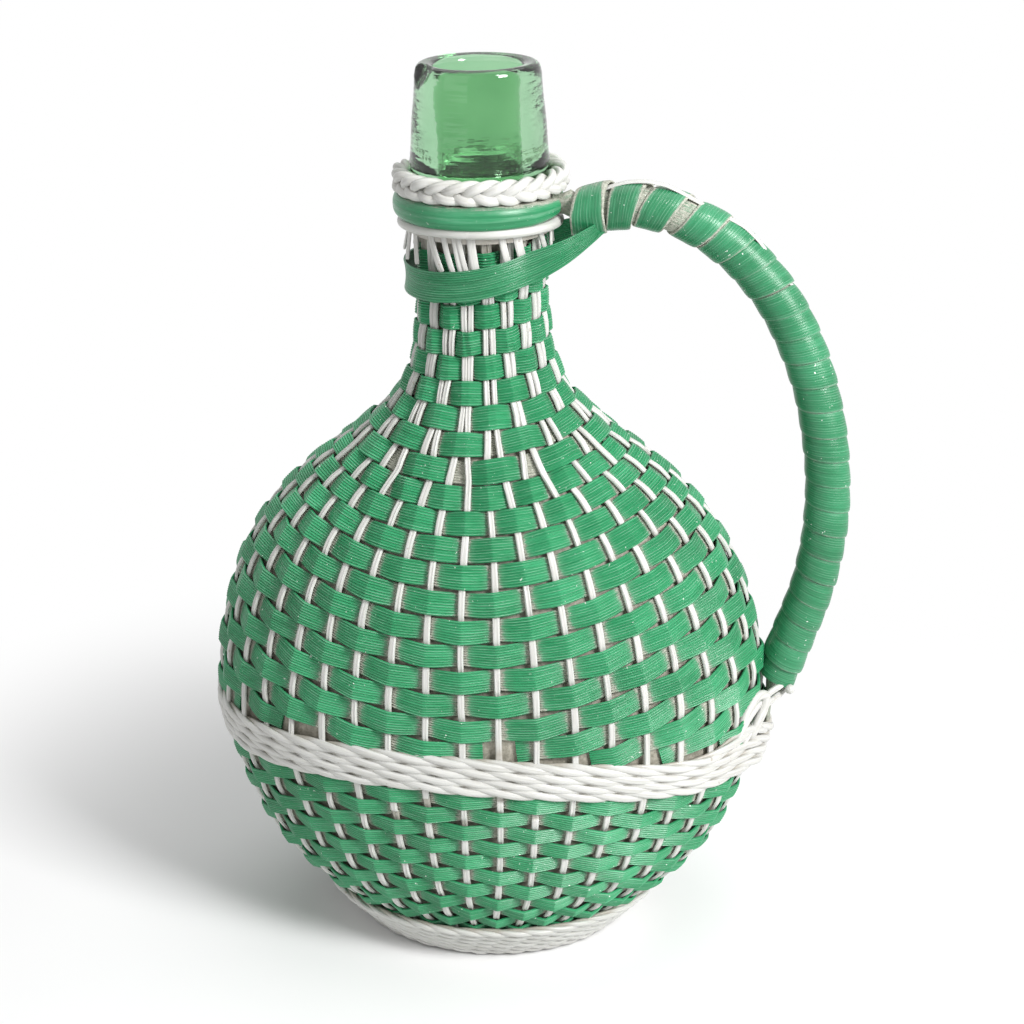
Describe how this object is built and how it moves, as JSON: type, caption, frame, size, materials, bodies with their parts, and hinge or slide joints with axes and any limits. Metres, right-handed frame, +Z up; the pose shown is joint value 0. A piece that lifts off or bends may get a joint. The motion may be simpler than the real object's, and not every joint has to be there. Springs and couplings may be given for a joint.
{
  "type": "wicker-covered demijohn",
  "caption": "Flattened glass demijohn with a tapered lip, covered in woven ribbon over stakes, with a waist band, a foot border and a ribbon-wrapped side handle.",
  "frame": {"origin": "centre of the base on the floor, on the axis of the neck", "axes": "+Z up through the neck, +X towards the handle, -Y towards the broad front face"},
  "size_m": [0.288, 0.168, 0.4],
  "materials": {
    "green_glass": "clear green bottle glass, slightly wavy",
    "green_ribbon": "fine lengthwise ribs, semi-gloss, dusty in the gaps",
    "white_cane": "off-white plastic cane, aged and dusty",
    "handle_cane": "bare bundled cane, hidden under the wrap"
  },
  "bodies": {
    "root": {"base_disc": "white_cane", "foot_border": "white_cane", "glass_bottle": "green_glass", "handle_core": "handle_cane", "handle_spine": "white_cane", "handle_tie": "white_cane", "handle_wrap": "green_ribbon", "lower_weft_01": "green_ribbon", "lower_weft_02": "green_ribbon", "lower_weft_03": "green_ribbon", "lower_weft_04": "green_ribbon", "lower_weft_05": "green_ribbon", "lower_weft_06": "green_ribbon", "lower_weft_07": "green_ribbon", "lower_weft_08": "green_ribbon", "lower_weft_09": "green_ribbon", "lower_weft_10": "green_ribbon", "lower_weft_11": "green_ribbon", "neck_fringe": "white_cane", "neck_hoop": "green_ribbon", "neck_plait_1": "white_cane", "neck_plait_2": "white_cane", "neck_plait_3": "white_cane", "neck_ring": "white_cane", "neck_sling": "green_ribbon", "upper_weft_01": "green_ribbon", "upper_weft_02": "green_ribbon", "upper_weft_03": "green_ribbon", "upper_weft_04": "green_ribbon", "upper_weft_05": "green_ribbon", "upper_weft_06": "green_ribbon", "upper_weft_07": "green_ribbon", "upper_weft_08": "green_ribbon", "upper_weft_09": "green_ribbon", "upper_weft_10": "green_ribbon", "upper_weft_11": "green_ribbon", "upper_weft_12": "green_ribbon", "upper_weft_13": "green_ribbon", "upper_weft_14": "green_ribbon", "upper_weft_15": "green_ribbon", "upper_weft_16": "green_ribbon", "upper_weft_17": "green_ribbon", "upper_weft_18": "green_ribbon", "upper_weft_19": "green_ribbon", "upper_weft_20_left": "green_ribbon", "upper_weft_20_right": "green_ribbon", "upper_weft_21_left": "green_ribbon", "upper_weft_21_right": "green_ribbon", "upper_weft_22_left": "green_ribbon", "upper_weft_22_right": "green_ribbon", "upper_weft_23_right": "green_ribbon", "waist_cane_1": "white_cane", "waist_cane_2": "white_cane", "waist_cane_3": "white_cane", "waist_cane_4": "white_cane", "warp_stakes": "white_cane"}
  },
  "joints": []
}
